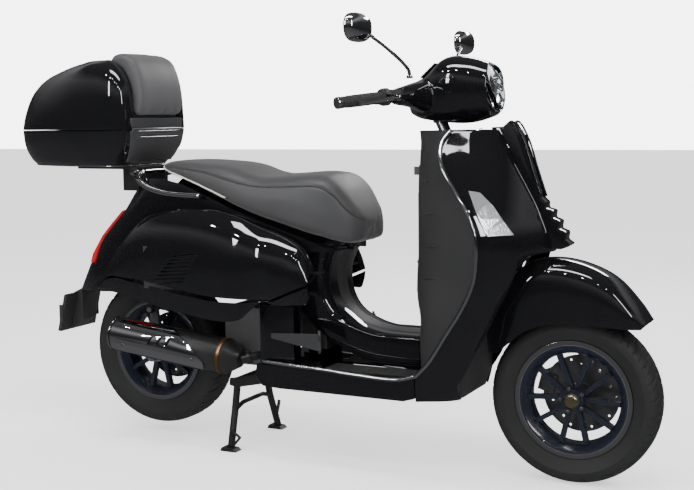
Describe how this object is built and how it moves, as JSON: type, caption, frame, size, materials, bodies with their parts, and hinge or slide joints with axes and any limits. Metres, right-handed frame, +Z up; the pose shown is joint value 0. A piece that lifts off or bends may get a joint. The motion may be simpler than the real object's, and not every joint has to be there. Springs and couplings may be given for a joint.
{
  "type": "moped scooter",
  "caption": "Step-through motor scooter on its centre stand, with leg shield, two-level seat and rear top case.",
  "frame": {"origin": "on the ground, at the middle of the overall box's underside", "axes": "+X forward, +Z up, +Y to the rider's left"},
  "size_m": [2.142, 0.908, 1.283],
  "materials": {
    "black_paint": "deep gloss black lacquer over steel",
    "chrome": "bright chrome plate",
    "black_plastic": "fine-grained black moulding",
    "gloss_plastic": "gloss black moulding",
    "seat_vinyl": "charcoal grained vinyl with pale piping",
    "pad_vinyl": "dark grey soft vinyl",
    "rubber": "black rubber",
    "tyre": "black tread rubber",
    "alloy": "cast alloy",
    "wheel_paint": "dark painted alloy with a turned pale edge",
    "steel": "ground steel",
    "dark_steel": "black coated steel",
    "clear_lens": "clear moulded lens over a reflector",
    "red_lens": "red lens with a clear strip"
  },
  "bodies": {
    "chassis": {"rear_body": "black_paint", "right_cowl": "black_paint", "left_cowl": "black_paint", "front_shield": "black_paint", "inner_shield": "black_plastic", "horn_cover": "black_paint", "shield_trim": "chrome", "front_indicators": "clear_lens", "floor_pan": "black_paint", "floor_strips": "rubber", "head_tube": "dark_steel", "stand_bracket": "dark_steel", "radiators": "alloy", "battery": "black_plastic", "helmet_bin": "black_plastic", "fuel_tank": "dark_steel", "tail_lamp": "red_lens", "plate_holder": "black_plastic", "grab_rail": "chrome", "carrier": "dark_steel", "top_case_base": "black_paint", "hinge_pins": "steel"},
    "steering": {"steering_stem": "steel", "front_fender": "black_paint", "headset_cover": "black_paint", "headlamp": "clear_lens", "handlebar": "steel", "left_grip": "rubber", "switch_pods": "black_plastic", "dash_panel": "black_plastic"},
    "front_suspension": {"front_link": "alloy", "front_shock": "dark_steel", "front_caliper": "alloy"},
    "front_wheel": {"front_rim": "wheel_paint", "front_tyre": "tyre", "front_disc": "steel"},
    "throttle": {"throttle_grip": "rubber"},
    "front_brake_lever": {"right_lever": "chrome"},
    "rear_brake_lever": {"left_lever": "chrome"},
    "mirror_right": {"right_mirror": "chrome"},
    "mirror_left": {"left_mirror": "chrome"},
    "starter": {"starter_button": "black_plastic"},
    "horn": {"horn_button": "black_plastic"},
    "turn_signal": {"turn_switch": "black_plastic"},
    "key": {"ignition_key": "steel"},
    "glovebox": {"glovebox_door": "black_plastic"},
    "seat": {"seat_cushion": "seat_vinyl", "seat_base": "black_plastic"},
    "case_lid": {"top_case_lid": "black_paint", "backrest_pad": "pad_vinyl"},
    "engine": {"engine_case": "alloy", "transmission_cover": "alloy", "muffler": "dark_steel", "heat_shield": "chrome", "rear_shocks": "dark_steel"},
    "rear_wheel": {"rear_rim": "wheel_paint", "rear_tyre": "tyre"},
    "stand": {"centre_stand": "dark_steel"},
    "footrest_right": {"right_footrest": "chrome"},
    "footrest_left": {"left_footrest": "chrome"}
  },
  "joints": [
    {"name": "steering", "type": "hinge", "parent": "chassis", "child": "steering", "pos_m": [0.53232, 0, 0.8], "axis": [-0.4384, 0, 0.8988], "range_deg": [-32, 32]},
    {"name": "front_suspension", "type": "hinge", "parent": "steering", "child": "front_suspension", "pos_m": [0.93, 0.1, 0.215], "axis": [0, 1, 0], "range_deg": [0, 20], "stiffness_Nm_per_rad": 300, "springref_deg": -34.38, "deforming": ["front_shock"]},
    {"name": "front_wheel_spin", "type": "hinge", "parent": "front_suspension", "child": "front_wheel", "pos_m": [0.835, 0, 0.236], "axis": [0, 1, 0], "continuous": true},
    {"name": "throttle_twist", "type": "hinge", "parent": "steering", "child": "throttle", "pos_m": [0.368, -0.252, 1.069], "axis": [-0.5311, -0.841, -0.1033], "range_deg": [0, 70], "stiffness_Nm_per_rad": 0.4, "springref_deg": -17.19},
    {"name": "front_brake_squeeze", "type": "hinge", "parent": "steering", "child": "front_brake_lever", "pos_m": [0.408, -0.243, 1.067], "axis": [0, 0, -1], "range_deg": [0, 9], "stiffness_Nm_per_rad": 4, "springref_deg": -11.46},
    {"name": "rear_brake_squeeze", "type": "hinge", "parent": "steering", "child": "rear_brake_lever", "pos_m": [0.408, 0.243, 1.067], "axis": [0, 0, 1], "range_deg": [0, 9], "stiffness_Nm_per_rad": 4, "springref_deg": -11.46},
    {"name": "right_mirror_swivel", "type": "hinge", "parent": "steering", "child": "mirror_right", "pos_m": [0.402, -0.152, 1.122], "axis": [0, 0, 1], "range_deg": [-25, 25]},
    {"name": "left_mirror_swivel", "type": "hinge", "parent": "steering", "child": "mirror_left", "pos_m": [0.402, 0.152, 1.122], "axis": [0, 0, 1], "range_deg": [-25, 25]},
    {"name": "starter_push", "type": "slide", "parent": "steering", "child": "starter", "axis": [1, 0, 0], "range_m": [0, 0.0015], "stiffness_N_per_m": 300, "springref_m": -0.003},
    {"name": "horn_push", "type": "slide", "parent": "steering", "child": "horn", "axis": [1, 0, 0], "range_m": [0, 0.003], "stiffness_N_per_m": 300, "springref_m": -0.003},
    {"name": "turn_signal_slide", "type": "slide", "parent": "steering", "child": "turn_signal", "axis": [0, 1, 0], "range_m": [-0.003, 0.003]},
    {"name": "key_turn", "type": "hinge", "parent": "chassis", "child": "key", "pos_m": [0.38, 0, 0.86], "axis": [1, 0, 0], "range_deg": [0, 90]},
    {"name": "glovebox_hinge", "type": "hinge", "parent": "chassis", "child": "glovebox", "pos_m": [0.392, 0, 0.604], "axis": [0, -1, 0], "range_deg": [0, 28]},
    {"name": "seat_hinge", "type": "hinge", "parent": "chassis", "child": "seat", "pos_m": [0.165, 0, 0.64], "axis": [0, 1, 0], "range_deg": [0, 50]},
    {"name": "case_lid_hinge", "type": "hinge", "parent": "chassis", "child": "case_lid", "pos_m": [-0.543, 0, 0.988], "axis": [0, 1, 0], "range_deg": [0, 60]},
    {"name": "rear_suspension", "type": "hinge", "parent": "chassis", "child": "engine", "pos_m": [-0.07, 0, 0.33], "axis": [0, 1, 0], "range_deg": [0, 9], "stiffness_Nm_per_rad": 4000, "springref_deg": -8.59, "deforming": ["rear_shocks"]},
    {"name": "rear_wheel_spin", "type": "hinge", "parent": "engine", "child": "rear_wheel", "pos_m": [-0.54, 0, 0.272], "axis": [0, 1, 0], "continuous": true},
    {"name": "stand_fold", "type": "hinge", "parent": "chassis", "child": "stand", "pos_m": [-0.213, 0, 0.205], "axis": [0, 1, 0], "range_deg": [0, 80], "stiffness_Nm_per_rad": 2, "springref_deg": -34.38},
    {"name": "right_footrest_fold", "type": "hinge", "parent": "chassis", "child": "footrest_right", "pos_m": [0.128, -0.186, 0.37], "axis": [0, 0, 1], "range_deg": [0, 80]},
    {"name": "left_footrest_fold", "type": "hinge", "parent": "chassis", "child": "footrest_left", "pos_m": [0.128, 0.186, 0.37], "axis": [0, 0, -1], "range_deg": [0, 80]}
  ]
}
